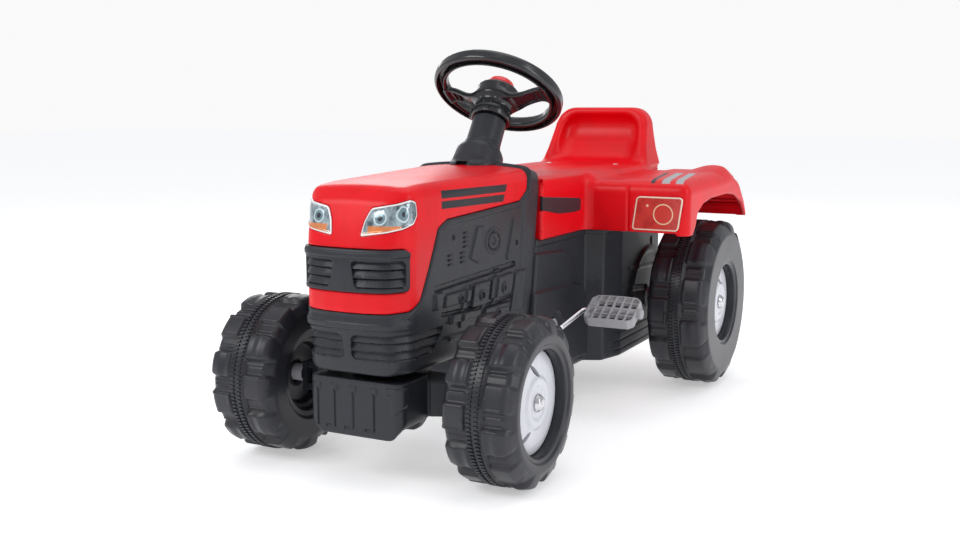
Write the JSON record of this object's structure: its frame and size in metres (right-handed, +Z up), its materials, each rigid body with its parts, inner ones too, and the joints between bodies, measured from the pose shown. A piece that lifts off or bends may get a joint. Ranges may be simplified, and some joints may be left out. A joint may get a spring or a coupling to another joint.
{
  "type": "ride-on pedal tractor",
  "caption": "Child's ride-on pedal tractor with lugged wheels, saddle seat with fenders, tilted steering column, linked front knuckles and a chain-driven rear axle.",
  "frame": {"origin": "on the ground at the middle of the overall box", "axes": "+Z up, -Y towards the front of the tractor, +X towards its left side"},
  "size_m": [0.5158, 0.85, 0.522],
  "materials": {
    "red_plastic": "glossy moulded red",
    "black_plastic": "satin moulded charcoal",
    "gloss_black": "glossy moulded black",
    "tyre_plastic": "satin blow-moulded black",
    "white_plastic": "smooth moulded white",
    "grey_plastic": "moulded grey",
    "lamp_decal": "printed label",
    "fender_decal": "printed label",
    "zinc_steel": "zinc plated",
    "screw_steel": "zinc plated",
    "cap_steel": "pressed bright steel",
    "bush_plastic": "moulded nylon",
    "squeaker_rubber": "soft bellows"
  },
  "bodies": {
    "chassis": {"hood": "red_plastic", "upper_grille": "black_plastic", "engine_housing": "black_plastic", "chassis": "black_plastic", "seat_body": "red_plastic", "front_axle_housing": "black_plastic", "steering_collar": "gloss_black", "column_tube": "gloss_black", "column_bush": "bush_plastic", "lower_bush": "bush_plastic", "drive_chain": "zinc_steel", "hood_screws": "screw_steel", "seat_screws": "screw_steel", "axle_housing_screws": "screw_steel", "frame_screws": "screw_steel", "headlight_left": "lamp_decal", "headlight_right": "lamp_decal", "side_trim_left": "white_plastic", "side_trim_right": "white_plastic", "fender_lamp_left": "fender_decal", "fender_lamp_right": "fender_decal", "crank_bush_left": "bush_plastic", "crank_bush_right": "bush_plastic", "axle_bush_left": "bush_plastic", "axle_bush_right": "bush_plastic"},
    "steering": {"steering_wheel": "gloss_black", "steering_rod": "zinc_steel", "horn_squeaker": "squeaker_rubber"},
    "horn_button": {"horn_button": "red_plastic"},
    "tie_rod": {"tie_rod": "zinc_steel"},
    "knuckle_left": {"knuckle_left": "black_plastic", "kingpin_left": "zinc_steel", "stub_axle_left": "zinc_steel", "front_cap_left": "cap_steel"},
    "knuckle_right": {"knuckle_right": "black_plastic", "kingpin_right": "zinc_steel", "stub_axle_right": "zinc_steel", "front_cap_right": "cap_steel"},
    "front_wheel_left": {"front_tyre_left": "tyre_plastic", "front_rim_left": "white_plastic"},
    "front_wheel_right": {"front_tyre_right": "tyre_plastic", "front_rim_right": "white_plastic"},
    "crank": {"crank": "zinc_steel", "crank_sprocket": "zinc_steel", "pedal_cap_left": "cap_steel", "pedal_cap_right": "cap_steel"},
    "pedal_left": {"pedal_left": "grey_plastic"},
    "pedal_right": {"pedal_right": "grey_plastic"},
    "rear_axle": {"rear_axle": "zinc_steel", "axle_sprocket": "zinc_steel", "drive_pin": "zinc_steel", "rear_tyre_right": "tyre_plastic", "rear_rim_right": "white_plastic", "rear_cap_left": "cap_steel", "rear_cap_right": "cap_steel"},
    "rear_wheel_left": {"rear_tyre_left": "tyre_plastic", "rear_rim_left": "white_plastic"}
  },
  "joints": [
    {"name": "steering_turn", "type": "hinge", "parent": "chassis", "child": "steering", "pos_m": [0, -0.018, 0.465], "axis": [0, 0.5519, 0.8339], "range_deg": [-33, 33]},
    {"name": "horn_press", "type": "slide", "parent": "steering", "child": "horn_button", "axis": [0, 0.5519, 0.8339], "range_m": [-0.004, 0], "stiffness_N_per_m": 600, "springref_m": 0.001},
    {"name": "tie_rod_slide", "type": "slide", "parent": "chassis", "child": "tie_rod", "axis": [1, 0, 0], "range_m": [-0.0125, 0.0125]},
    {"name": "knuckle_left_turn", "type": "hinge", "parent": "chassis", "child": "knuckle_left", "pos_m": [0.105, -0.314, 0.1035], "axis": [0, 0, 1], "range_deg": [-20.5, 20.5]},
    {"name": "knuckle_right_turn", "type": "hinge", "parent": "chassis", "child": "knuckle_right", "pos_m": [-0.105, -0.314, 0.1035], "axis": [0, 0, 1], "range_deg": [-20.5, 20.5]},
    {"name": "front_wheel_left_spin", "type": "hinge", "parent": "knuckle_left", "child": "front_wheel_left", "pos_m": [0.1647, -0.314, 0.1035], "axis": [1, 0, 0], "continuous": true},
    {"name": "front_wheel_right_spin", "type": "hinge", "parent": "knuckle_right", "child": "front_wheel_right", "pos_m": [-0.1647, -0.314, 0.1035], "axis": [1, 0, 0], "continuous": true},
    {"name": "rear_axle_spin", "type": "hinge", "parent": "chassis", "child": "rear_axle", "pos_m": [0, 0.291, 0.1328], "axis": [1, 0, 0], "continuous": true},
    {"name": "rear_wheel_left_spin", "type": "hinge", "parent": "rear_axle", "child": "rear_wheel_left", "pos_m": [0.2096, 0.291, 0.1328], "axis": [1, 0, 0], "continuous": true},
    {"name": "crank_spin", "type": "hinge", "parent": "chassis", "child": "crank", "pos_m": [0, -0.02, 0.129], "axis": [1, 0, 0], "continuous": true},
    {"name": "pedal_left_spin", "type": "hinge", "parent": "crank", "child": "pedal_left", "pos_m": [0.16, 0.033, 0.1515], "axis": [1, 0, 0], "continuous": true},
    {"name": "pedal_right_spin", "type": "hinge", "parent": "crank", "child": "pedal_right", "pos_m": [-0.16, -0.073, 0.1065], "axis": [1, 0, 0], "continuous": true}
  ],
  "couplings": [
    {"joint": "tie_rod_slide", "follows": "steering_turn", "m_per_rad": -0.021175},
    {"joint": "knuckle_left_turn", "follows": "steering_turn", "ratio": 0.606},
    {"joint": "knuckle_right_turn", "follows": "steering_turn", "ratio": 0.606},
    {"joint": "crank_spin", "follows": "rear_axle_spin", "ratio": 0.8}
  ]
}
